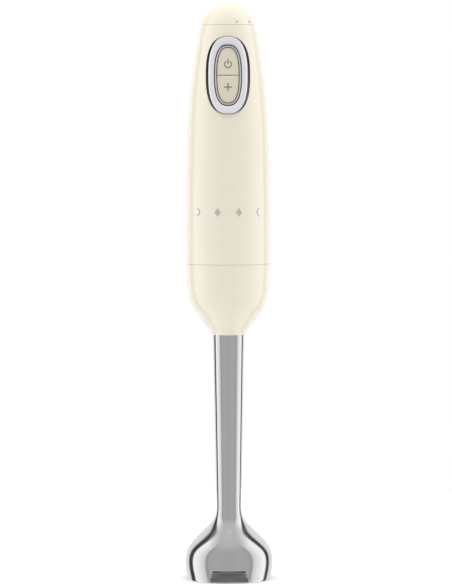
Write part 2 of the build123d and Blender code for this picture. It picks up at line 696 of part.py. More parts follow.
# ---------------------------------------------------------------- leg socket of the handle
SOCKET_LOW_Z = LEG_SEAM_Z + SEAM_GAP / 2
SOCKET_R = HANDLE_R - WALL - 0.1
SOCKET_BORE_R = 22.2
SPIGOT_R = SOCKET_BORE_R - 0.3
SPIGOT_HIGH_Z = 236.0
DECK_LOW_Z, DECK_HIGH_Z = 238.0, 241.0
LUG_R = 24.0
LUG_GROOVE_R = LUG_R + 0.5
LUG_LOW_Z, LUG_HIGH_Z = 229.0, 232.5
LUG_HALF_ANGLE = 12
LUG_CLEAR_ANGLE = 1.5
LUG_COUNT = 3
LEG_TWIST = 35

with BuildPart() as leg_socket:
    ring(SOCKET_LOW_Z, SOCKET_R, SOCKET_BORE_R, DECK_HIGH_Z - SOCKET_LOW_Z)
    disc(DECK_LOW_Z, SOCKET_R - 1, DECK_HIGH_Z - DECK_LOW_Z)
    with BuildSketch(level(DECK_HIGH_Z - 0.5)):
        with PolarLocations(PILLAR_RING_R, 4):
            Circle(2.0)
    extrude(amount=CAN_LOW_Z - DECK_HIGH_Z + 0.5)
    with BuildSketch(level(DECK_LOW_Z)):
        Circle(7.8)
        with PolarLocations(PILLAR_RING_R, 4):
            Circle(SCREW_R + 0.02)
    extrude(amount=20, mode=Mode.SUBTRACT)
    with BuildSketch(level(DECK_LOW_Z)):
        with PolarLocations(PILLAR_RING_R, 4):
            Circle(SCREW_HEAD_R)
    extrude(amount=1.6, mode=Mode.SUBTRACT)
    for turn in range(LUG_COUNT):
        low = 120 * turn - LUG_HALF_ANGLE - LUG_CLEAR_ANGLE
        high = 120 * turn + LEG_TWIST + LUG_HALF_ANGLE + LUG_CLEAR_ANGLE
        with BuildSketch(level(LUG_LOW_Z - 0.2)):
            pie(LUG_GROOVE_R, low, high)
        extrude(amount=LUG_HIGH_Z - LUG_LOW_Z + 0.4, mode=Mode.SUBTRACT)
        with BuildSketch(level(SOCKET_LOW_Z)):
            pie(LUG_GROOVE_R, high - 2 * (LUG_HALF_ANGLE + LUG_CLEAR_ANGLE), high)
        extrude(amount=LUG_HIGH_Z - SOCKET_LOW_Z, mode=Mode.SUBTRACT)

with BuildPart() as motor_screws:
    with BuildSketch(level(DECK_LOW_Z)):
        with PolarLocations(PILLAR_RING_R, 4):
            Circle(SCREW_HEAD_R - 0.1)
    extrude(amount=1.6)
    with BuildSketch(level(DECK_LOW_Z)):
        with PolarLocations(PILLAR_RING_R, 4):
            Circle(SCREW_R)
    extrude(amount=CAN_LOW_Z + CAN_WALL - DECK_LOW_Z)

# ---------------------------------------------------------------- coupling between motor and leg
CUP_LOW_Z, CUP_FLOOR_Z, CUP_HIGH_Z = 224.0, 229.0, 236.6
CUP_R = 7.2
HEX_R = 3.5  # half the socket's width across its flats
HEX_CLEARANCE = 0.12
DOG_SHOULDER_R = 6.4

with BuildPart() as drive_dog:
    with BuildSketch(level(CUP_FLOOR_Z + 0.5)):
        RegularPolygon(HEX_R - HEX_CLEARANCE, 6, major_radius=False)
    extrude(amount=DECK_LOW_Z - CUP_FLOOR_Z)
    disc(DECK_LOW_Z, DOG_SHOULDER_R, FAN_LOW_Z - DECK_LOW_Z)
    disc(MOTOR_SHAFT_LOW_Z, MOTOR_SHAFT_R, 20, mode=Mode.SUBTRACT)

with BuildPart() as drive_coupling:
    disc(CUP_LOW_Z, CUP_R, CUP_HIGH_Z - CUP_LOW_Z)
    fillet(drive_coupling.edges().filter_by(GeomType.CIRCLE), radius=0.8)
    with BuildSketch(level(CUP_FLOOR_Z)):
        RegularPolygon(HEX_R, 6, major_radius=False)
    extrude(amount=20, mode=Mode.SUBTRACT)
    disc(CUP_LOW_Z, DRIVE_SHAFT_R, CUP_FLOOR_Z - CUP_LOW_Z, mode=Mode.SUBTRACT)

# ---------------------------------------------------------------- leg collar
COLLAR_HIGH_Z = LEG_SEAM_Z - SEAM_GAP / 2
COLLAR_CAVITY_Z = 184.0
SLEEVE_R = 13.6
PLUG_R = TUBE_R - TUBE_WALL - 0.05
PLUG_LOW_Z, PLUG_HIGH_Z = 194.0, 209.5
CORE_RIM_R = HANDLE_R - WALL - 0.5
BUSH_R = 6.2
UPPER_BUSH_Z = 197.0
SHAFT_PASS_R = 3.6

with BuildPart() as collar_cavity:
    add(collar_form(WALL))
    split(bisect_by=level(COLLAR_CAVITY_Z), keep=Keep.TOP)

with BuildPart() as leg_collar:
    add(collar_form(0))
    split(bisect_by=level(COLLAR_HIGH_Z), keep=Keep.BOTTOM)
    add(collar_cavity.part, mode=Mode.SUBTRACT)
    disc(COLLAR_LOW_Z - 1, TUBE_R + 0.02, 60, mode=Mode.SUBTRACT)

with BuildPart() as collar_core:
    with BuildSketch(Plane.XZ):
        with BuildLine():
            Polyline(
                (SHAFT_PASS_R, PLUG_LOW_Z),
                (PLUG_R, PLUG_LOW_Z),
                (PLUG_R, TUBE_TOP_Z + 0.1),
                (TUBE_R + 0.02, TUBE_TOP_Z + 0.1),
                (TUBE_R + 0.02, COLLAR_CAVITY_Z + 0.4),
                (SLEEVE_R, COLLAR_CAVITY_Z + 0.4),
                (SLEEVE_R, 206),
                (20.5, 212.5),
                (CORE_RIM_R - 0.5, 214),
                (CORE_RIM_R, COLLAR_HIGH_Z),
                (SPIGOT_R, COLLAR_HIGH_Z),
                (SPIGOT_R, SPIGOT_HIGH_Z),
                (SPIGOT_R - WALL, SPIGOT_HIGH_Z),
                (SPIGOT_R - WALL, 215),
                (12.5, PLUG_HIGH_Z),
                (SHAFT_PASS_R, PLUG_HIGH_Z),
                close=True,
            )
        make_face()
    revolve(axis=Axis.Z)
    with BuildSketch(level(LUG_LOW_Z)):
        for turn in range(LUG_COUNT):
            pie(LUG_R, 120 * turn - LUG_HALF_ANGLE, 120 * turn + LUG_HALF_ANGLE)
        Circle(SPIGOT_R - 1, mode=Mode.SUBTRACT)
    extrude(amount=LUG_HIGH_Z - LUG_LOW_Z)
    disc(UPPER_BUSH_Z, BUSH_R, 20, mode=Mode.SUBTRACT)

with BuildPart() as upper_bush:
    ring(UPPER_BUSH_Z, BUSH_R - 0.01, DRIVE_SHAFT_R + FIT, 11)

# ---------------------------------------------------------------- steel tube and bell
NECK_R = 8.75
BELL_OUTLINE = [
    (RIM_R, 0),
    (30.15, 6.5),
    (BELL_R, BELL_WIDEST_Z),
    (29.1, 20.8),
    (24.5, 27.7),
    (18.6, 33.6),
    (12.8, 39.4),
    (9.7, 44.2),
    (NECK_R, NECK_Z),
]
TAPER = (TUBE_R - NECK_R) / (COLLAR_LOW_Z - NECK_Z)
NOTCH_FOOT = 27.8
NOTCH_TOP = 24.0
NOTCH_HIGH_Z = 8.6
NOTCH_CORNER_R = 2.0
NOTCH_COUNT = 3


def taper_point(z):
    """Point of the tube's tapering outer line at a height."""
    return (NECK_R + TAPER * (z - NECK_Z), z)


with BuildPart() as leg_tube:
    with BuildSketch(Plane.XZ):
        with BuildLine():
            Polyline(taper_point(NECK_Z), taper_point(COLLAR_LOW_Z), (TUBE_R, TUBE_TOP_Z))
            offset(amount=TUBE_WALL, side=Side.LEFT)
        make_face()
    revolve(axis=Axis.Z)
    split(bisect_by=level(NECK_Z), keep=Keep.TOP)

with BuildLine(Plane.XZ):
    bell_line = Spline(*BELL_OUTLINE, tangents=[(0.22, 1), (TAPER, 1)])
bell_outer = turned_form(bell_line, 0, 20, (0, NECK_Z), (0, 0))
bell_inner = turned_form(bell_line, TUBE_WALL, 20, (0, NECK_Z + 1), (0, -1), (RIM_R - TUBE_WALL, -1))

with BuildPart() as bell_guard:
    add(bell_outer)
    add(bell_inner, mode=Mode.SUBTRACT)
    for turn in range(NOTCH_COUNT):
        with BuildSketch(round_plane(360 / NOTCH_COUNT * turn, 15, 0)):
            with BuildLine():
                FilletPolyline(
                    (-NOTCH_FOOT / 2, -1),
                    (-NOTCH_TOP / 2, NOTCH_HIGH_Z),
                    (NOTCH_TOP / 2, NOTCH_HIGH_Z),
                    (NOTCH_FOOT / 2, -1),
                    radius=NOTCH_CORNER_R,
                )
                Line((-NOTCH_FOOT / 2, -1), (NOTCH_FOOT / 2, -1))
            make_face()
        extrude(amount=20, mode=Mode.SUBTRACT)

CARRIER_R = 7.7
CARRIER_LOW_Z = 50.0
LOWER_BUSH_R = 5.2
with BuildPart() as bearing_carrier:
    ring(CARRIER_LOW_Z, CARRIER_R, LOWER_BUSH_R, 18)
with BuildPart() as lower_bush:
    ring(CARRIER_LOW_Z + 2, LOWER_BUSH_R - 0.01, DRIVE_SHAFT_R + FIT, 14)
with BuildPart() as shaft_seal:
    ring(CARRIER_LOW_Z - 5, CARRIER_R, DRIVE_SHAFT_R + FIT, 5)

# ---------------------------------------------------------------- spindle and blade
SHAFT_LOW_Z = 17.5
BLADE_Z = 22.0
BLADE_THICK = 1.5
BLADE_BOSS_R = 6.5
HUB_HEIGHT = 10.0
NUT_HEIGHT = 5.5
WING_ROOT = 8.5
LONG_WING = (20.5, -5.0)  # tip radius and rise
SHORT_WING = (16.5, 4.0)

with BuildPart() as drive_shaft:
    disc(SHAFT_LOW_Z, DRIVE_SHAFT_R, CUP_FLOOR_Z - SHAFT_LOW_Z)

with BuildPart() as blade_hub:
    disc(BLADE_Z + BLADE_THICK, 6.0, HUB_HEIGHT)
    fillet(blade_hub.edges().group_by(Axis.Z)[-1], radius=1.0)
    disc(BLADE_Z, DRIVE_SHAFT_R, HUB_HEIGHT + 4, mode=Mode.SUBTRACT)

with BuildPart() as blade_nut:
    with BuildSketch(level(BLADE_Z - NUT_HEIGHT)):
        RegularPolygon(4.8, 6, major_radius=False)
    extrude(amount=NUT_HEIGHT)
    fillet(blade_nut.edges().group_by(Axis.Z)[0], radius=0.8)
    disc(SHAFT_LOW_Z, DRIVE_SHAFT_R, 10, mode=Mode.SUBTRACT)


def blade_wing(tip_r, rise):
    """One cranked wing along +X, with its plan cut to a curved cutting edge."""
    with BuildPart() as wing:
        with BuildSketch(Plane.XZ):
            with BuildLine():
                Polyline(
                    (0, BLADE_Z),
                    (WING_ROOT, BLADE_Z),
                    (tip_r, BLADE_Z + rise),
                    (tip_r, BLADE_Z + rise + BLADE_THICK),
                    (WING_ROOT, BLADE_Z + BLADE_THICK),
                    (0, BLADE_Z + BLADE_THICK),
                    close=True,
                )
            make_face()
        extrude(amount=8, both=True)
        with BuildSketch(level(0)):
            with BuildLine():
                edge = ThreePointArc((0, -4.5), (WING_ROOT + 3, -3.8), (tip_r, 1.5))
                Polyline(edge @ 1, (tip_r - 1, 4.5), (0, 4.5), edge @ 0)
            make_face()
        extrude(amount=60, mode=Mode.INTERSECT)
    return wing.part


long_wing = blade_wing(*LONG_WING)
short_wing = blade_wing(*SHORT_WING)
with BuildPart() as blade:
    disc(BLADE_Z, BLADE_BOSS_R, BLADE_THICK)
    for turn in (0, 180):
        add(long_wing, rotation=(0, 0, turn))
        add(short_wing, rotation=(0, 0, turn + 90))
    disc(BLADE_Z - 1, DRIVE_SHAFT_R, 5, mode=Mode.SUBTRACT)

# ---------------------------------------------------------------- export
PIECES = {
    "front_shell": front_shell,
    "rear_shell": rear_shell,
    "rear_grip": rear_grip,
    "trim_studs": trim_studs,
    "shell_screws": shell_screws,
    "bezel": bezel,
    "bezel_ring": bezel_ring,
    "power_button": power_button,
    "power_symbol": power_symbol,
    "boost_button": boost_button,
    "boost_symbol": boost_symbol,
    "button_mat": button_mat,
    "power_plunger": power_plunger,
    "boost_plunger": boost_plunger,
    "power_switch": power_switch,
    "boost_switch": boost_switch,
    "control_board": control_board,
    "capacitor": capacitor,
    "power_transistor": power_transistor,
    "heat_sink": heat_sink,
    "speed_dial": speed_dial,
    "speed_dots": speed_dots,
    "dial_seat": dial_seat,
    "detent_spring": detent_spring,
    "potentiometer": potentiometer,
    "potentiometer_nut": potentiometer_nut,
    "potentiometer_shaft": potentiometer_shaft,
    "cord_gland": cord_gland,
    "motor_can": motor_can,
    "motor_magnets": motor_magnets,
    "motor_end_cap": motor_end_cap,
    "lower_bearing": lower_bearing,
    "upper_bearing": upper_bearing,
    "brush_holders": brush_holders,
    "carbon_brushes": carbon_brushes,
    "brush_springs": brush_springs,
    "lower_cushion": lower_cushion,
    "upper_cushion": upper_cushion,
    "motor_leads": motor_leads,
    "motor_screws": motor_screws,
    "motor_shaft": motor_shaft,
    "armature_core": armature_core,
    "armature_windings": armature_windings,
    "commutator": commutator,
    "cooling_fan": cooling_fan,
    "drive_dog": drive_dog,
    "leg_socket": leg_socket,
    "leg_collar": leg_collar,
    "collar_core": collar_core,
    "upper_bush": upper_bush,
    "leg_tube": leg_tube,
    "bell_guard": bell_guard,
    "bearing_carrier": bearing_carrier,
    "lower_bush": lower_bush,
    "shaft_seal": shaft_seal,
    "drive_shaft": drive_shaft,
    "drive_coupling": drive_coupling,
    "blade_hub": blade_hub,
    "blade": blade,
    "blade_nut": blade_nut,
}

for name, piece in PIECES.items():
    piece.part.label = name
    export_step(piece.part, f"parts/{name}.step")
print(len(PIECES), "pieces")
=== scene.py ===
# %% [markdown]
# A hand-held immersion blender stands on the rim of its steel bell. The measured parts come from
# the packed CAD model, which is loaded first and never moved. This notebook gives every part its
# real finish, and remakes the parts whose soft edges decide how the blender looks: the steel leg,
# the silver panel frame with its ring, the two keys and the four studs.

# %% Load the measured parts
import math

import bmesh
import bpy
import numpy as np
from mathutils import Matrix, Vector


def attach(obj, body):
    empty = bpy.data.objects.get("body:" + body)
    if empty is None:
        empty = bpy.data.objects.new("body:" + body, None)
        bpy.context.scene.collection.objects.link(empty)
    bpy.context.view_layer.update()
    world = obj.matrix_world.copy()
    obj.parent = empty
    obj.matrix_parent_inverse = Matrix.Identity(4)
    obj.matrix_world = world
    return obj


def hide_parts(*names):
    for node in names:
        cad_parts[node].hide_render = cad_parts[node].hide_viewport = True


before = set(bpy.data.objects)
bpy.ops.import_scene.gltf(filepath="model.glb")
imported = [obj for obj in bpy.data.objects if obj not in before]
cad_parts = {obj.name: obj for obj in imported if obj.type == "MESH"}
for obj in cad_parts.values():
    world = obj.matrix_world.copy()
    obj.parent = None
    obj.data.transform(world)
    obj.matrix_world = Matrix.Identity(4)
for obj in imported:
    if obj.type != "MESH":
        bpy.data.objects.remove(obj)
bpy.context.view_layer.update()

MM = 0.001

# %% [markdown]
# The camera stands level with the handle and looks a little down at the middle of the blender,
# from far enough away that leg and handle keep their true widths. A long lens at two and a half
# metres does that. A short lens close by would fill the same frame, but it would swell the part
# that is nearest.

# %% Camera
EYE = Vector((-0.0017, -2.394, 0.309))
AIM = Vector((-0.0017, 0, 0.2016))
LEAN = math.radians(0.13)
LENS, SENSOR, FAR_CLIP = 210.8, 36, 50

camera = bpy.data.objects.new("camera", bpy.data.cameras.new("camera"))
bpy.context.collection.objects.link(camera)
camera.location = EYE
camera.rotation_mode = "QUATERNION"
camera.rotation_quaternion = ((AIM - EYE).to_track_quat("-Z", "Y")
                              @ Matrix.Rotation(-LEAN, 3, "Z").to_quaternion())
camera.data.lens, camera.data.sensor_width, camera.data.clip_end = LENS, SENSOR, FAR_CLIP
bpy.context.scene.camera = camera
print("camera", tuple(round(c, 3) for c in camera.location))

# %% [markdown]
# Node setups read more easily as sums than as boxes and wires. The class Signal wraps one output
# of a node, so that an ordinary expression such as 1 - mask * 0.2 adds the Math nodes it needs.
# The class Finish holds one node tree, and every other node is made by its method node: the type
# first, then its settings, then what goes into its sockets.

# %% Sums on sockets
class Signal:
    """One output of a node, used in ordinary sums."""

    def __init__(self, finish, socket):
        self.finish, self.socket = finish, socket

    def math(self, operation, *terms):
        return self.finish.node("ShaderNodeMath", {"operation": operation}, dict(enumerate(terms)))

    def __add__(self, other):
        return self.math("ADD", self, other)

    def __radd__(self, other):
        return self.math("ADD", other, self)

    def __sub__(self, other):
        return self.math("SUBTRACT", self, other)

    def __rsub__(self, other):
        return self.math("SUBTRACT", other, self)

    def __mul__(self, other):
        return self.math("MULTIPLY", self, other)

    def __rmul__(self, other):
        return self.math("MULTIPLY", other, self)

    def __pow__(self, other):
        return self.math("POWER", self, other)

    def __rpow__(self, other):
        return self.math("POWER", other, self)

    def __abs__(self):
        return self.math("ABSOLUTE", self)

    def fraction(self):
        """What is left of a number above its whole part, which repeats a pattern."""
        return self.math("FRACT", self)

    def sine(self):
        return self.math("SINE", self)


print("a Signal adds Math nodes for", [name for name in vars(Signal) if name.endswith("__")][1:])

# %% Node trees
class Finish:
    """One node tree, with the patterns that the finishes below share."""

    def __init__(self, name, owner=None):
        """Starts the tree of a new material, or of another owner such as a world."""
        self.owner = owner or bpy.data.materials.new(name)
        self.owner.use_nodes = True
        self.tree = self.owner.node_tree
        self.tree.nodes.clear()
        self.object_place = None

    def node(self, kind, settings=None, sockets=None, out=0):
        """Makes a node: its settings first, then the values or signals of its sockets."""
        made = self.tree.nodes.new(kind)
        for key, value in (settings or {}).items():
            if key == "stops":
                ramp = made.color_ramp
                while len(ramp.elements) > len(value):
                    ramp.elements.remove(ramp.elements[-1])
                while len(ramp.elements) < len(value):
                    ramp.elements.new(1.0)
                for element, (place, colour) in zip(ramp.elements, value):
                    element.position, element.color = place, (*colour, 1)
            else:
                setattr(made, key, value)
        for key, value in (sockets or {}).items():
            if isinstance(value, Signal):
                self.tree.links.new(value.socket, made.inputs[key])
            else:
                made.inputs[key].default_value = value
        return Signal(self, made.outputs[out]) if made.outputs else made

    def place(self, stretch=(1, 1, 1)):
        """Where a point is on the piece, in metres, stretched for a pattern."""
        if self.object_place is None:
            self.object_place = self.node("ShaderNodeTexCoord", out="Object")
        return self.node("ShaderNodeMapping", {"vector_type": "POINT"},
                         {"Vector": self.object_place, "Scale": stretch})

    def split(self, vector):
        """The x, y and z of a vector."""
        outputs = self.node("ShaderNodeSeparateXYZ", None, {0: vector}).socket.node.outputs
        return [Signal(self, outputs[axis]) for axis in "XYZ"]

    def noise(self, grain, detail=2.0, stretch=(1, 1, 1)):
        """Cloudy pattern from 0 to 1 whose blotches are grain metres wide."""
        sockets = {"Vector": self.place(stretch), "Scale": 1 / grain, "Detail": detail}
        return self.node("ShaderNodeTexNoise", None, sockets)

    def cells(self, grain):
        """Distance to the nearest of many scattered points."""
        sockets = {"Vector": self.place(), "Scale": 1 / grain}
        return self.node("ShaderNodeTexVoronoi", {"feature": "F1"}, sockets)

    def ease(self, value, low, high):
        """0 below low, 1 above high, and smooth between them."""
        sockets = {"Value": value, "From Min": low, "From Max": high}
        return self.node("ShaderNodeMapRange", {"interpolation_type": "SMOOTHSTEP"}, sockets)

    def mix(self, share, low, high):
        """Colour low turned towards colour high by a share."""
        sockets = {0: share, 6: self.paint(low), 7: self.paint(high)}
        return self.node("ShaderNodeMix", {"data_type": "RGBA"}, sockets, out=2)

    def paint(self, colour):
        """A colour of three numbers as a socket wants it; a signal stays as it is."""
        return colour if isinstance(colour, Signal) else (*colour, 1)

    def bump(self, height, strength, distance):
        """Small relief that tilts the light but not the shape."""
        sockets = {"Strength": strength, "Distance": distance, "Height": height}
        return self.node("ShaderNodeBump", None, sockets)

    def surface(self, **sockets):
        """Ends the tree with the shader, and gives the finished material."""
        named = {key.replace("_", " "): value for key, value in sockets.items()}
        named["Base Color"] = self.paint(named["Base Color"])
        shader = self.node("ShaderNodeBsdfPrincipled", None, named)
        self.node("ShaderNodeOutputMaterial", None, {"Surface": shader})
        return self.owner


def tinted(colour, share, lift=0.0):
    """A colour made lighter or darker by a share and lifted, with no channel above 1."""
    return tuple(min(1, channel * share + lift) for channel in colour)


print("a Finish offers", [name for name in vars(Finish) if not name.startswith("_")])

# %% [markdown]
# The casing is cream plastic from a polished mould. Such plastic has a clear, slightly wavy skin,
# a body colour that drifts a little with the flow of the melt, and a duller sheen where hands
# rub it. A clear coat over a softer body gives the two kinds of shine at once.

# %% Cream plastic
def moulded_plastic(name, colour, shine, coat, drift=0.03, peel=0.0011, depth=0.00002):
    """Glossy moulded plastic: drifting body colour, wavy skin, fine flow marks."""
    f = Finish(name)
    flow = f.noise(0.045, 3, (1, 1, 0.5))
    speck = f.ease(f.cells(0.0016), 0.05, 0.16)
    body = f.mix(flow, tinted(colour, 1 - drift), colour)
    body = f.mix((1 - speck) * 0.04, body, tinted(colour, 0.75))
    rub = f.noise(0.02, 4)
    rough = shine + (rub - 0.5) * 0.10
    skin = f.noise(peel, 2) + f.noise(0.008, 1) * 0.6
    return f.surface(Base_Color=body, Roughness=rough, Coat_Weight=coat + (rub - 0.5) * 0.15,
                     Coat_Roughness=0.05, IOR=1.5, Normal=f.bump(skin, 0.25, depth))


cream_plastic = moulded_plastic("cream_plastic", (0.80, 0.745, 0.615), 0.30, 0.55)
key_plastic = moulded_plastic("key_plastic", (0.66, 0.615, 0.485), 0.42, 0.15,
                              peel=0.0005, depth=0.00003)
inner_plastic = moulded_plastic("inner_plastic", (0.70, 0.68, 0.62), 0.5, 0.05)
dark_plastic = moulded_plastic("dark_plastic", (0.035, 0.035, 0.037), 0.45, 0.1, drift=0.2)
# The black below is painted shade: it colours the panel frame's outer wall to draw a dark edge round
# the frame.
frame_edge_shade = moulded_plastic("frame_edge_shade", (0.012, 0.012, 0.013), 0.22, 0.5, drift=0.2)
print("plastics:", cream_plastic.name, key_plastic.name, inner_plastic.name, dark_plastic.name,
      frame_edge_shade.name)

# %% [markdown]
# The back of the handle has a soft rubber pad with a fine matt grain, and the small marks on the
# keys are pad-printed ink. Rubber scatters light from a pebbled skin, so it gets tiny cells for
# bump and a high roughness. Ink is thin and even, with a slightly broken edge to its gloss.

# %% Rubber and ink
def pebbled_rubber(name, colour, grain):
    """Matt rubber with a pebbled skin and paler rubbed places."""
    f = Finish(name)
    rub = f.noise(0.012, 4)
    pebbles = f.cells(grain)
    body = f.mix(f.ease(rub, 0.45, 0.75), colour, tinted(colour, 1.18, 0.01))
    return f.surface(Base_Color=body, Roughness=0.62 + rub * 0.2,
                     Normal=f.bump(pebbles, 0.5, 0.00006))


def printed_ink(name, colour):
    """Thin pad-printed ink with a faint grain."""
    f = Finish(name)
    grain = f.noise(0.0004, 3)
    body = f.mix(grain, tinted(colour, 0.85), tinted(colour, 1.15))
    return f.surface(Base_Color=body, Roughness=0.45 + grain * 0.15,
                     Normal=f.bump(grain, 0.3, 0.00001))


soft_grip = pebbled_rubber("soft_grip", (0.50, 0.475, 0.41), 0.0007)
# This black rubber finish also colours the panel frame's wall in the gap round the ring, where it is
# painted shade.
black_rubber_and_gap_shade = pebbled_rubber("black_rubber_and_gap_shade", (0.03, 0.03, 0.031), 0.0009)
taupe_ink = printed_ink("taupe_ink", (0.235, 0.205, 0.18))
print("soft finishes:", soft_grip.name, black_rubber_and_gap_shade.name, taupe_ink.name)

# %% [markdown]
# The leg is polished stainless steel, buffed while it turns, so the finest lines run round it.
# The ring and studs are chrome plate, which is whiter, smoother and a little wavy. Turned, ground
# and rolled steel inside the motor is duller. One function makes them all, with lines that run
# round the upright axis, because stretching a cloud pattern flat turns it into such lines.

# %% Metals
def worked_metal(name, colour, shine, line_pitch, line_depth, wave=0.0, smudge=0.03):
    """Metal with fine lines round the upright axis, soft smudges and slow waves."""
    f = Finish(name)
    lines = f.noise(line_pitch, 3, (0.02, 0.02, 1))
    handled = f.noise(0.018, 4)
    body = f.mix(handled, tinted(colour, 0.96), colour)
    relief = lines + f.noise(0.012, 1) * wave
    rough = shine + (lines - 0.5) * 0.5 * shine + (handled - 0.5) * smudge
    return f.surface(Base_Color=body, Metallic=1.0, Roughness=rough,
                     Normal=f.bump(relief, 0.3, line_depth))


polished_steel = worked_metal("polished_steel", (0.74, 0.74, 0.74), 0.13, 0.00025, 0.0000008,
                              smudge=0.05)
chrome_plate = worked_metal("chrome_plate", (0.93, 0.93, 0.945), 0.05, 0.0006, 0.000001, wave=0.5)
bright_steel = worked_metal("bright_steel", (0.66, 0.66, 0.67), 0.24, 0.0003, 0.000004, smudge=0.08)
# The inside of the leg takes the finish below: rough as unbuffed spun metal, with a colour far darker
# than steel that is painted shade.
spun_steel_and_inner_shade = worked_metal("spun_steel_and_inner_shade", (0.30, 0.30, 0.305), 0.38, 0.0004, 0.000008, smudge=0.08)
aluminium = worked_metal("aluminium", (0.80, 0.80, 0.81), 0.33, 0.0004, 0.000006, smudge=0.08)
brass = worked_metal("brass", (0.78, 0.58, 0.26), 0.28, 0.0004, 0.000004, smudge=0.12)
print("metals:", polished_steel.name, chrome_plate.name, bright_steel.name, spun_steel_and_inner_shade.name,
      aluminium.name, brass.name)

# %% [markdown]
# The panel frame is plastic sprayed with silver lacquer. It looks like metal from afar, but it is
# whiter and softer than chrome, because the light comes back from many small flakes under a clear
# coat. Scattered cells stand for the flakes, and the surface is made only partly metallic.

# %% Silver lacquer
def lacquered_silver():
    """Fine metal flakes in a clear coat."""
    f = Finish("silver_lacquer")
    flakes = f.cells(0.00025)
    cloud = f.noise(0.01, 3)
    body = f.mix(flakes, (0.90, 0.90, 0.915), (0.82, 0.82, 0.84))
    return f.surface(Base_Color=body, Metallic=0.45, Roughness=0.28 + cloud * 0.08, Coat_Weight=0.6,
                     Coat_Roughness=0.04, Normal=f.bump(flakes, 0.15, 0.00001))


silver_lacquer = lacquered_silver()
print("made", silver_lacquer.name)

# %% [markdown]
# The electrical parts have finishes of their own. The board is green lacquer over copper tracks,
# with tinned pads on a square grid, and the windings are enamelled wire laid in turns. Both
# patterns repeat evenly, so each is worked out from where a point is on the piece: the part of a
# number after its point makes the grid, and a sine makes the turns. Nothing has to be unwrapped.

# %% Board and wire
HOLES_PER_METRE = 394
TRACKS_PER_METRE = 480


def from_middle(steps):
    """How far a repeating number is from the middle of its step, from 0 to 0.5."""
    return abs(steps.fraction() - 0.5)


def green_board():
    """Lacquered board with copper tracks under the lacquer and tinned pads."""
    f = Finish("green_board")
    x, y, z = f.split(f.place())
    weave = f.noise(0.0004, 2, (1, 1, 3))
    tracks = x * TRACKS_PER_METRE + z * (TRACKS_PER_METRE / 4) + f.noise(0.006, 1) * 3
    track = f.ease(from_middle(tracks), 0.30, 0.34)
    hole_x, hole_z = from_middle(x * HOLES_PER_METRE), from_middle(z * HOLES_PER_METRE)
    pad = 1 - f.ease((hole_x * hole_x + hole_z * hole_z) ** 0.5, 0.20, 0.24)
    pad = pad * f.ease(f.noise(0.004, 0), 0.52, 0.56)
    lacquer = f.mix(track, (0.01, 0.16, 0.06), (0.02, 0.26, 0.10))
    lacquer = f.mix(weave * 0.2, lacquer, (0.05, 0.30, 0.15))
    colour = f.mix(pad, lacquer, (0.72, 0.72, 0.70))
    return f.surface(Base_Color=colour, Metallic=pad, Roughness=0.3 + weave * 0.1 - pad * 0.05,
                     Normal=f.bump(track + pad, 0.4, 0.00004))


def wound_wire():
    """Enamelled copper wire laid in turns."""
    f = Finish("wound_wire")
    x, y, z = f.split(f.place())
    wobble = f.noise(0.004, 2)
    turn = (x * 1500 + y * 1500 + z * 900 + wobble * 2).sine()
    body = f.mix(turn * 0.5 + 0.5, (0.30, 0.07, 0.02), (0.72, 0.27, 0.10))
    return f.surface(Base_Color=body, Metallic=0.85, Roughness=0.30 + wobble * 0.12,
                     Coat_Weight=0.4, Normal=f.bump(turn, 0.6, 0.00012))


board_lacquer, copper_wire = green_board(), wound_wire()
print("made", board_lacquer.name, "and", copper_wire.name)

# %% [markdown]
# Magnets are dull fired ferrite with fine pits, and brushes are pressed carbon with shining flecks.
# The capacitor and the leads wear glossy film or sleeve. Scattered cells make pits and flecks, and
# one threshold across the piece makes the stripe that such a film carries.

# %% Ferrite, carbon and sleeves
def fired_ferrite():
    """Dull grey ceramic magnet with fine pits."""
    f = Finish("fired_ferrite")
    pits = f.ease(f.cells(0.0009), 0.1, 0.35)
    cloud = f.noise(0.006, 4)
    body = f.mix(cloud, (0.035, 0.035, 0.04), (0.09, 0.09, 0.095))
    return f.surface(Base_Color=body, Roughness=0.6 + cloud * 0.2, Normal=f.bump(pits, 0.5, 0.00008))


def pressed_carbon():
    """Pressed carbon with shining flecks."""
    f = Finish("pressed_carbon")
    fleck = 1 - f.ease(f.cells(0.0005), 0.08, 0.2)
    body = f.mix(fleck, (0.02, 0.02, 0.022), (0.30, 0.28, 0.27))
    return f.surface(Base_Color=body, Metallic=fleck * 0.8, Roughness=0.5 - fleck * 0.15,
                     Normal=f.bump(f.noise(0.0006, 3), 0.3, 0.00003))


def shrink_sleeve(name, colour, stripe):
    """Glossy shrink-wrapped film with a paler stripe up one side."""
    f = Finish(name)
    side = f.ease(f.split(f.place())[0], *stripe)
    cloud = f.noise(0.003, 2)
    body = f.mix(side, colour, tinted(colour, 2, 0.35))
    return f.surface(Base_Color=body, Roughness=0.22 + cloud * 0.1, Coat_Weight=0.3,
                     Normal=f.bump(cloud, 0.3, 0.00004))


ferrite, carbon = fired_ferrite(), pressed_carbon()
capacitor_film = shrink_sleeve("capacitor_film", (0.02, 0.03, 0.10), (-0.0045, -0.0041))
lead_film = shrink_sleeve("lead_film", (0.42, 0.03, 0.025), (0.001, 0.002))
print("made", ferrite.name, carbon.name, capacitor_film.name, lead_film.name)

# %% [markdown]
# Every measured part now takes the finish of the material it is made from. The record names a
# slot for each part, so one table from slot to finish dresses all of them, and no part is missed.

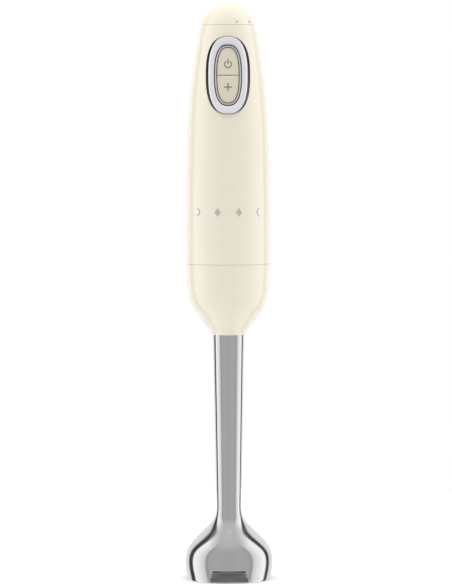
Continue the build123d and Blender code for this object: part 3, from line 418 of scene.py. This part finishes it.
# %% Dress the measured parts
FINISHES = {
    "casing": cream_plastic, "grip": soft_grip, "bright_trim": chrome_plate, "key": key_plastic,
    "mark": taupe_ink, "polished_steel": polished_steel, "inner_plastic": inner_plastic,
    "dark_plastic": dark_plastic, "rubber": black_rubber_and_gap_shade, "board": board_lacquer,
    "capacitor_sleeve": capacitor_film, "lead_sleeve": lead_film, "aluminium": aluminium,
    "steel": bright_steel, "brass": brass, "copper_wire": copper_wire, "magnet": ferrite,
    "carbon": carbon,
}
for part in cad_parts.values():
    for holder in part.material_slots:
        holder.material = FINISHES[holder.material.name.split(".")[0]]
print(len(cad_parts), "measured parts have", len(FINISHES), "finishes")

# %% [markdown]
# The same few steps start and end every new piece. Everything is deselected before a primitive is
# added, because the loaded parts are still selected. Faces and edges are then chosen by where they
# are, and a modifier is applied as soon as it has done its work.

# %% Workshop helpers
def begin(name, add, **settings):
    """Adds a primitive with nothing else selected, and opens it for editing."""
    if bpy.context.object and bpy.context.object.mode != "OBJECT":
        bpy.ops.object.mode_set(mode="OBJECT")
    bpy.ops.object.select_all(action="DESELECT")
    add(**settings)
    piece = bpy.context.object
    piece.name = piece.data.name = name
    bpy.ops.object.transform_apply(location=True, rotation=True, scale=True)
    bpy.ops.object.mode_set(mode="EDIT")
    bpy.ops.mesh.select_mode(type="VERT")
    bpy.ops.mesh.select_all(action="SELECT")
    return piece


def choose(piece, kind, wanted):
    """Selects the edges or faces that the test wants, by their centre or anything else."""
    bpy.ops.mesh.select_all(action="DESELECT")
    bpy.ops.mesh.select_mode(type={"edges": "EDGE", "faces": "FACE"}[kind])
    shape = bmesh.from_edit_mesh(piece.data)
    count = 0
    for part in getattr(shape, kind):
        centre = sum((corner.co for corner in part.verts), Vector()) / len(part.verts)
        if wanted(centre, part):
            part.select_set(True)
            count += 1
    shape.select_flush_mode()
    bmesh.update_edit_mesh(piece.data)
    return count


print("helpers that start a piece and pick its faces: begin, choose")

# %% Finishing helpers
def modify(piece, kind, **settings):
    """Adds a modifier and applies it."""
    if piece.mode != "OBJECT":
        bpy.ops.object.mode_set(mode="OBJECT")
    made = piece.modifiers.new(kind.lower(), kind)
    for key, value in settings.items():
        setattr(made, key, value)
    bpy.context.view_layer.objects.active = piece
    bpy.ops.object.modifier_apply(modifier=made.name)


def end(piece, finish, body, angle=35, replaces=()):
    """Smooths a finished piece, gives it its finish and lets it ride on its body."""
    if piece.mode != "OBJECT":
        bpy.ops.object.mode_set(mode="OBJECT")
    bpy.ops.object.select_all(action="DESELECT")
    piece.select_set(True)
    bpy.context.view_layer.objects.active = piece
    bpy.ops.object.transform_apply(location=True, rotation=True, scale=True)
    bpy.ops.object.shade_smooth_by_angle(angle=math.radians(angle))
    if not piece.data.materials:
        piece.data.materials.append(finish)
    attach(piece, body)
    if replaces:
        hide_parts(*replaces)
    print(piece.name, "has", sum(len(p.vertices) - 2 for p in piece.data.polygons), "triangles")


print("helpers that finish a piece: modify, end")

# %% [markdown]
# The leg and the handle are curves in side view, and a few measured points give each of them. The
# smoothest line through such points bends as little as it can, like a thin lath held by pins. It
# is worked out here from the same points as the measured parts use, so both shapes agree.

# %% Smooth line
def smooth_line(points, first_way, last_way, steps):
    """Points of the smoothest line through some points, with its direction given at each end."""
    knots = np.array(points, float)
    gaps = np.linalg.norm(np.diff(knots, axis=0), axis=1)
    count = len(knots)
    rows, ways = np.eye(count), np.zeros((count, 2))
    ways[0] = np.array(first_way) / np.linalg.norm(first_way)
    ways[-1] = np.array(last_way) / np.linalg.norm(last_way)
    for i in range(1, count - 1):
        before, after = gaps[i - 1], gaps[i]
        rows[i, i - 1], rows[i, i], rows[i, i + 1] = after, 2 * (before + after), before
        ways[i] = 3 * (after * (knots[i] - knots[i - 1]) / before
                       + before * (knots[i + 1] - knots[i]) / after)
    ways = np.linalg.solve(rows, ways)
    line = [knots[0]]
    for i, gap in enumerate(gaps):
        for step in range(1, steps + 1):
            t = step / steps
            line.append((2 * t**3 - 3 * t**2 + 1) * knots[i]
                        + (t**3 - 2 * t**2 + t) * gap * ways[i]
                        + (3 * t**2 - 2 * t**3) * knots[i + 1]
                        + (t**3 - t**2) * gap * ways[i + 1])
    return np.array(line)


print("helper that draws a profile: smooth_line")

# %% [markdown]
# Tube and bell are one continuous skin of thin steel, spun to shape and buffed as one. It could be
# turned from a drawn outline, but growing it ring by ring is closer to how the metal is spun: a
# ring is extruded up and resized at each height. The three notches let food flow out of the bell.
# Each is cut by laying sloping planes through the wall, and its faces are then removed.

# %% Steel leg: spin the skin
BELL_POINTS = [(28.9, 0), (30.15, 6.5), (30.6, 13), (29.1, 20.8), (24.5, 27.7), (18.6, 33.6),
               (12.8, 39.4), (9.7, 44.2), (8.75, 52)]
RIM_WAY = (0.22, 1)  # the rim leans out this much for each millimetre up
NECK = BELL_POINTS[-1]
TUBE_TOP = (11.0, 171.8)
TUBE_END = 205.0
TUBE_RINGS = 12
LEG_POINTS_ROUND = 144

taper = (TUBE_TOP[0] - NECK[0]) / (TUBE_TOP[1] - NECK[1])
bell_line = smooth_line(BELL_POINTS, RIM_WAY, (taper, 1), 7)
tube_line = [(NECK[0] + taper * (height - NECK[1]), height)
             for height in np.linspace(NECK[1], TUBE_TOP[1], TUBE_RINGS + 1)[1:]]
tube_line.append((TUBE_TOP[0], TUBE_END))


def spin_skin(name, line):
    """Grows a skin upwards, ring by ring, from (radius, height) stations in millimetres."""
    radius, height = line[0]
    piece = begin(name, bpy.ops.mesh.primitive_circle_add, vertices=LEG_POINTS_ROUND,
                  radius=radius * MM, location=(0, 0, height * MM))
    for next_radius, next_height in line[1:]:
        rise = (0, 0, (next_height - height) * MM)
        bpy.ops.mesh.extrude_edges_move(TRANSFORM_OT_translate={"value": rise})
        share = next_radius / radius
        bpy.ops.transform.resize(value=(share, share, 1),
                                 center_override=(0, 0, next_height * MM))
        radius, height = next_radius, next_height
    return piece


steel_leg = spin_skin("steel_leg", [*bell_line, *tube_line])
print("rings in the leg:", len(bell_line) + len(tube_line))

# %% Steel leg: cut the notches
NOTCH_FOOT, NOTCH_HEAD, NOTCH_HIGH, NOTCH_ROUND = 13.9, 12.0, 8.6, 2.0
NOTCHES = [math.radians(angle) for angle in (0, 120, 240)]
CUT_HIGH, CUT_OUT, CUT_WIDE, CUT_PAST = 12, 18, 17, 1  # the part of the wall that the planes cut


def notch_edge():
    """Corner points of half a notch, from its foot to its middle, with a rounded shoulder."""
    slope = math.atan2(NOTCH_FOOT - NOTCH_HEAD, NOTCH_HIGH)
    reach = NOTCH_ROUND * math.tan((math.pi / 2 - slope) / 2)
    centre = (NOTCH_HEAD - reach, NOTCH_HIGH - NOTCH_ROUND)
    corner = [(centre[0] + NOTCH_ROUND * math.cos(a), centre[1] + NOTCH_ROUND * math.sin(a))
              for a in np.linspace(slope, math.pi / 2, 6)]
    return [(NOTCH_FOOT + 0.2, -0.9), *corner, (0, NOTCH_HIGH)]


edge_points = notch_edge()
edge_runs = list(zip(edge_points, edge_points[1:]))


def near_notch(centre, out, side):
    """True in the part of the wall round one half of a notch."""
    return (centre.z < CUT_HIGH * MM and centre.dot(out) > CUT_OUT * MM
            and -CUT_PAST * MM < centre.dot(side) < CUT_WIDE * MM)


for way in NOTCHES:
    out = Vector((math.sin(way), -math.cos(way), 0))
    for hand in (-1, 1):
        side = Vector((math.cos(way), math.sin(way), 0)) * hand
        for (x0, z0), (x1, z1) in edge_runs:
            choose(steel_leg, "faces", lambda centre, face: near_notch(centre, out, side))
            bpy.ops.mesh.bisect(plane_co=side * (x0 * MM) + Vector((0, 0, z0 * MM)),
                                plane_no=side * (z1 - z0) - Vector((0, 0, x1 - x0)))


def in_notch(centre):
    """True inside a notch's outline."""
    for way in NOTCHES:
        across = abs(centre.x * math.cos(way) + centre.y * math.sin(way)) / MM
        ahead = centre.x * math.sin(way) - centre.y * math.cos(way)
        if ahead > 0 and all((x1 - x0) * (centre.z / MM - z0) - (z1 - z0) * (across - x0) > 0
                             for (x0, z0), (x1, z1) in edge_runs):
            return True
    return False


removed = choose(steel_leg, "faces", lambda centre, face: in_notch(centre))
bpy.ops.mesh.delete(type="FACE")
print("faces removed for the notches:", removed)

# %% [markdown]
# The skin has no thickness yet. A Solidify modifier grows the wall inwards, so the outside keeps
# its measured size, and gives the inside a duller finish, as spun metal has where no buff reaches;
# its colour, far darker than steel, is painted shade inside the bell and tube.
# A narrow bevel then rounds every sharp edge, because a real rim always shows a line of light.

# %% Steel leg: thickness and soft edges
WALL, EDGE_ROUND = 0.9, 0.28

bpy.ops.mesh.select_all(action="SELECT")
bpy.ops.mesh.remove_doubles(threshold=0.00002)
bpy.ops.mesh.normals_make_consistent(inside=False)
bpy.ops.object.mode_set(mode="OBJECT")
for finish in (polished_steel, spun_steel_and_inner_shade):
    steel_leg.data.materials.append(finish)
modify(steel_leg, "SOLIDIFY", thickness=WALL * MM, offset=-1, material_offset=1)
modify(steel_leg, "BEVEL", width=EDGE_ROUND * MM, segments=3, limit_method="ANGLE",
       angle_limit=math.radians(50), use_clamp_overlap=True)
end(steel_leg, polished_steel, "leg", 40, ["leg_tube", "bell_guard"])

# %% [markdown]
# The panel is an oval silver frame that lies on the curved front of the handle, with a slim chrome
# ring inside it and a gap on each side of the ring. The frame's outer wall and its wall in the gap
# outside the ring are painted black, as painted shade: a dark edge round the frame and a dark gap.
# Each is an oval that is extruded inwards, station by station, while flat, and then laid on the
# handle by moving every point back by the depth of the handle's skin at that place. Bending a flat
# model with a modifier would not follow the handle's taper as well.

# %% Handle skin
HANDLE_POINTS = [(29.4, 221.5), (29.4, 238), (28.7, 294), (25.8, 346), (21.0, 378), (18.6, 388.7),
                 (12.9, 399), (0, 405)]
handle_line = smooth_line(HANDLE_POINTS, (0, 1), (-1, 0), 12)
PANEL_Z = 352.8


def handle_radius(height):
    """Radius of the handle at a height, both in millimetres."""
    return float(np.interp(height, handle_line[:, 1], handle_line[:, 0]))


def lay_on_handle(piece):
    """Moves every point back on to the handle's skin, keeping how far it stood in front of y = 0."""
    bpy.ops.object.mode_set(mode="OBJECT")
    for point in piece.data.vertices:
        radius = handle_radius(point.co.z / MM) * MM
        point.co.y -= math.sqrt(max(radius**2 - point.co.x**2, 0))
    bpy.ops.object.mode_set(mode="EDIT")


print("handle radius at the panel, mm:", round(handle_radius(PANEL_Z), 2))

# %% Oval bands
OVAL_POWER = 2.6  # 2 is an ellipse, and more is squarer
OVAL_POINTS = 160


def oval_band(name, stations, points_round=OVAL_POINTS):
    """Grows a band of ovals from (half width, half height, lift) stations in millimetres."""
    wide, high, lift = stations[0]
    piece = begin(name, bpy.ops.mesh.primitive_circle_add, vertices=points_round, radius=MM,
                  rotation=(math.pi / 2, 0, 0), location=(0, -lift * MM, PANEL_Z * MM))
    middle = Vector((0, 0, PANEL_Z * MM))
    bpy.ops.object.mode_set(mode="OBJECT")
    for point in piece.data.vertices:
        across, up = point.co.x / MM, point.co.z / MM - PANEL_Z
        point.co.x = MM * math.copysign(abs(across) ** (2 / OVAL_POWER), across)
        point.co.z = MM * (PANEL_Z + math.copysign(abs(up) ** (2 / OVAL_POWER), up))
    bpy.ops.object.mode_set(mode="EDIT")
    bpy.ops.mesh.select_all(action="SELECT")
    bpy.ops.transform.resize(value=(wide, 1, high), center_override=middle)
    for next_wide, next_high, next_lift in stations[1:]:
        forward = (0, (lift - next_lift) * MM, 0)
        bpy.ops.mesh.extrude_edges_move(TRANSFORM_OT_translate={"value": forward})
        bpy.ops.transform.resize(value=(next_wide / wide, 1, next_high / high),
                                 center_override=middle)
        wide, high, lift = next_wide, next_high, next_lift
    lay_on_handle(piece)
    bpy.ops.mesh.select_all(action="SELECT")
    bpy.ops.mesh.normals_make_consistent(inside=False)
    return piece


print("an oval of power", OVAL_POWER, "has", OVAL_POINTS, "points")

# %% Panel frame
FRAME_STATIONS = [(15.36, 26.9, -0.7), (15.36, 26.9, 0.0), (15.26, 26.87, 0.12), (13.5, 26.55, 1.42),
                  (13.33, 26.48, 1.56), (13.05, 26.25, 1.66), (12.5, 25.65, 1.7), (11.7, 24.7, 1.66),
                  (10.9, 23.6, 1.54), (10.3, 22.7, 1.38), (9.92, 22.0, 1.14), (9.68, 21.5, 0.8),
                  (9.56, 21.2, 0.3), (9.55, 21.15, -1.2), (9.1, 20.6, -1.2)]
# Stations before the first number make the outer wall, and stations from the second number on make
# the wall in the gap; both are painted black as shade.
FLANK_END, GAP_START = 3, 12  # stations between which the frame is silver

panel_frame = oval_band("panel_frame", FRAME_STATIONS)
bpy.ops.object.mode_set(mode="OBJECT")
for finish in (silver_lacquer, frame_edge_shade, black_rubber_and_gap_shade):
    panel_frame.data.materials.append(finish)
# Outer-wall faces and gap-wall faces take black finishes that paint shade there; the faces between
# them take the silver.
for face in panel_frame.data.polygons:
    station = min(face.vertices) // OVAL_POINTS
    face.material_index = 1 if station < FLANK_END else 2 if station >= GAP_START else 0
end(panel_frame, silver_lacquer, "handle", 40, ["bezel"])

# %% Panel ring
RING_STATIONS = [(9.05, 20.6, -1.3), (9.05, 20.6, 0.25), (8.98, 20.52, 0.5), (8.82, 20.36, 0.7),
                 (8.6, 20.12, 0.8), (8.4, 19.9, 0.8), (8.2, 19.68, 0.68), (8.04, 19.52, 0.46),
                 (7.98, 19.45, 0.2), (7.98, 19.45, -3.0)]

panel_ring = oval_band("panel_ring", RING_STATIONS)
end(panel_ring, chrome_plate, "handle", 40, ["bezel_ring"])

# %% [markdown]
# The two keys share one oval, cut across its middle. Their faces follow the handle and their edges
# are rounded where fingers meet them. An oval of rings is grown to its centre, laid on the handle,
# cut with a plane for each key, and its rim is extruded back into the handle.

# %% Keys
KEY_WIDE, KEY_HIGH, KEY_SINK, KEY_DEEP = 7.5, 19.0, 0.06, 3.0
KEY_RINGS = (1, 0.9, 0.78, 0.64, 0.48, 0.3, 0.12)
KEY_POINTS = 96
SPLIT_HALF = 0.2


def make_key(name, above):
    """Upper or lower key: half of a dense oval face, with a wall behind it and a soft rim."""
    rings = [(KEY_WIDE * share, KEY_HIGH * share, -KEY_SINK) for share in KEY_RINGS]
    piece = oval_band(name, rings, KEY_POINTS)
    choose(piece, "edges", lambda centre, edge: edge.is_boundary
           and abs(centre.z - PANEL_Z * MM) < 3 * MM and abs(centre.x) < 1.2 * MM)
    bpy.ops.mesh.edge_face_add()
    bpy.ops.mesh.poke()
    bpy.ops.mesh.select_all(action="SELECT")
    cut = PANEL_Z + (SPLIT_HALF if above else -SPLIT_HALF)
    bpy.ops.mesh.bisect(plane_co=(0, 0, cut * MM), plane_no=(0, 0, 1),
                        clear_inner=above, clear_outer=not above)
    choose(piece, "edges", lambda centre, edge: edge.is_boundary)
    bpy.ops.mesh.extrude_edges_move(TRANSFORM_OT_translate={"value": (0, KEY_DEEP * MM, 0)})
    bpy.ops.mesh.edge_face_add()
    bpy.ops.mesh.select_all(action="SELECT")
    bpy.ops.mesh.normals_make_consistent(inside=False)
    modify(piece, "BEVEL", width=0.42 * MM, segments=4, limit_method="ANGLE",
           angle_limit=math.radians(50))
    return piece


power_face = make_key("power_face", True)
end(power_face, key_plastic, "power_key", 40, ["power_button"])
boost_face = make_key("boost_face", False)
end(boost_face, key_plastic, "boost_key", 40, ["boost_button"])

# %% [markdown]
# Four small chrome lozenges decorate the handle. One is made at the front: a four-cornered plate
# whose corners are rounded, pushed forwards, inset and raised to a low crown. The others are
# copies turned about the handle's axis, each with a mesh of its own.

# %% Studs
STUD_Z, STUD_WIDE, STUD_TALL = 258.0, 2.8, 3.1
STUD_ROOT, STUD_RISE, STUD_RIM, STUD_CROWN = 0.55, 0.75, 0.55, 0.3
STUD_ANGLES = [-46.5, -15.5, 15.5, 46.5]

skin_y = -handle_radius(STUD_Z) * MM
first_stud = begin("stud", bpy.ops.mesh.primitive_circle_add, vertices=4, radius=MM, fill_type="NGON",
                   rotation=(math.pi / 2, 0, 0), location=(0, skin_y + STUD_ROOT * MM, STUD_Z * MM))
bpy.ops.transform.resize(value=(STUD_WIDE, 1, STUD_TALL), center_override=(0, 0, STUD_Z * MM))
bpy.ops.mesh.bevel(offset=0.7 * MM, segments=4, affect="VERTICES")
bpy.ops.mesh.select_all(action="SELECT")
bpy.ops.mesh.extrude_region_move(TRANSFORM_OT_translate={"value": (0, -STUD_RISE * MM, 0)})
bpy.ops.mesh.inset(thickness=STUD_RIM * MM)
bpy.ops.transform.translate(value=(0, -STUD_CROWN * MM, 0))
bpy.ops.mesh.select_all(action="SELECT")
bpy.ops.mesh.normals_make_consistent(inside=False)
modify(first_stud, "BEVEL", width=0.14 * MM, segments=3, limit_method="ANGLE",
       angle_limit=math.radians(20))

# %% Studs: copy and place
studs = [first_stud]
for angle in STUD_ANGLES[1:]:
    bpy.ops.object.select_all(action="DESELECT")
    first_stud.select_set(True)
    bpy.context.view_layer.objects.active = first_stud
    bpy.ops.object.duplicate(linked=False)
    copy = bpy.context.object
    copy.data.transform(Matrix.Rotation(math.radians(angle), 4, "Z"))
    studs.append(copy)
first_stud.data.transform(Matrix.Rotation(math.radians(STUD_ANGLES[0]), 4, "Z"))
for number, stud in enumerate(studs, 1):
    stud.name = stud.data.name = f"trim_stud_{number}"
    end(stud, chrome_plate, "handle", 30, ["trim_studs"] if number == 1 else ())

# %% [markdown]
# The blender stands on a plain pale floor of matt paper. A round sheet ends well outside the view.
# Mirrors do not see it, because its far edge would otherwise draw a hard line across the steel.

# %% Floor
FLOOR_RADIUS = 0.62

floor = begin("floor", bpy.ops.mesh.primitive_circle_add, vertices=96, radius=FLOOR_RADIUS,
              fill_type="NGON")
bpy.ops.mesh.inset(thickness=0.05)
bpy.ops.object.mode_set(mode="OBJECT")
paper = Finish("white_paper")
sheet = paper.mix(paper.noise(0.004, 3), (0.90, 0.90, 0.905), (0.93, 0.93, 0.935))
floor.data.materials.append(paper.surface(Base_Color=sheet, Roughness=0.9))
floor.visible_glossy = False
print("floor radius, m:", FLOOR_RADIUS)

# %% [markdown]
# Soft light from the front, the sides and above keeps the cream even, and two lights behind lift
# its edges from the white. Wide area lights make soft shadows. They light the casing and the floor
# only, and mirrors do not see them, so the steel can be given its own surroundings next.

# %% Lights
def round_axis(angle, distance, height):
    """Place at an angle from the front, round the upright axis."""
    way = math.radians(angle)
    return Vector((math.sin(way) * distance, -math.cos(way) * distance, height))


def soft_light(name, place, target, wide, high, radiance):
    """Rectangular light of a given brightness that faces a target and does not show in mirrors."""
    lamp = bpy.data.lights.new(name, "AREA")
    lamp.shape, lamp.size, lamp.size_y = "RECTANGLE", wide, high
    lamp.energy = radiance * math.pi * wide * high
    light = bpy.data.objects.new(name, lamp)
    bpy.context.collection.objects.link(light)
    light.location = place
    light.rotation_mode = "QUATERNION"
    light.rotation_quaternion = (Vector(target) - place).to_track_quat("-Z", "Y")
    light.visible_camera = light.visible_glossy = False


for hand, side_angle in (("left", -97), ("right", 101)):
    soft_light(hand + "_side", round_axis(side_angle, 1.3, 0.5), (0, 0, 0.5), 1.1, 2.4, 0.85)
for hand, rim_angle in (("left", -138), ("right", 138)):
    soft_light(hand + "_rim", round_axis(rim_angle, 1.6, 0.5), (0, 0, 0.3), 0.7, 1.6, 1.5)
soft_light("front_fill", Vector((0, -2.2, 1.1)), (0, 0, 0.25), 2.4, 1.6, 1.05)
soft_light("top_fill", Vector((0, -0.2, 1.8)), (0, 0, 0), 1.8, 1.8, 1.9)

# %% [markdown]
# Polished steel shows whatever stands round it, so the room is drawn as a ring of panels: an even
# front, a bright panel at each side that grows lighter towards its far edge, a dark card beyond it
# and a pale wall behind. A ramp read by the angle round the upright axis draws them all, and a
# pale ceiling covers the ring where it looks upwards. The camera itself sees only white.

# %% Surrounding room
FRONT, LINE, NEAR, MIDDLE, FAR, CARD, BEHIND = 0.48, 0.38, 0.78, 1.08, 1.28, 0.05, 0.92
ROOM_RING = ((-180, BEHIND), (-134, BEHIND), (-130, CARD), (-112, CARD), (-110, FAR), (-104, 1.25),
             (-88, MIDDLE), (-66.5, NEAR), (-65, LINE), (-60, LINE), (-57, 0.49), (-30, 0.51),
             (0, FRONT), (30, 0.51), (57, 0.49), (60, LINE), (65, LINE), (66.5, NEAR), (88, MIDDLE),
             (108, 1.25), (114, FAR), (116, CARD), (130, CARD), (134, BEHIND), (180, BEHIND))
CEILING, CEILING_FROM, CEILING_FULL = 0.62, 0.78, 0.97
ROOM_GAIN = 1.3  # a ramp's colours stay below 1, so the gain brings them up

world = bpy.data.worlds.new("room")
bpy.context.scene.world = world
room = Finish("room", world)
across, ahead, up = room.split(room.node("ShaderNodeTexCoord", out="Generated"))
turn = across.math("ARCTAN2", across, ahead * -1.0) * (0.5 / math.pi) + 0.5
ring_stops = [(angle / 360 + 0.5, (level / ROOM_GAIN,) * 3) for angle, level in ROOM_RING]
ring = room.node("ShaderNodeValToRGB", {"stops": ring_stops}, {0: turn})
ceiling_stops = [(CEILING_FROM, (0, 0, 0)), (CEILING_FULL, (1, 1, 1))]
overhead = room.node("ShaderNodeValToRGB", {"stops": ceiling_stops}, {0: up})
walls = room.mix(overhead, ring, (CEILING / ROOM_GAIN,) * 3)
print("the ring has", len(ROOM_RING), "stops")

# %% White behind the blender
backdrop = room.node("ShaderNodeBackground", None, {"Color": (1, 1, 1, 1), "Strength": 1.0})
soft_room = room.node("ShaderNodeBackground", None, {"Color": walls, "Strength": ROOM_GAIN})
seen = room.node("ShaderNodeLightPath", out="Is Camera Ray")
shown = room.node("ShaderNodeMixShader", None, {0: seen, 1: soft_room, 2: backdrop})
room.node("ShaderNodeOutputWorld", None, {"Surface": shown})
bpy.context.scene.view_settings.view_transform = "Standard"
print("the camera sees white, and mirrors see the room")
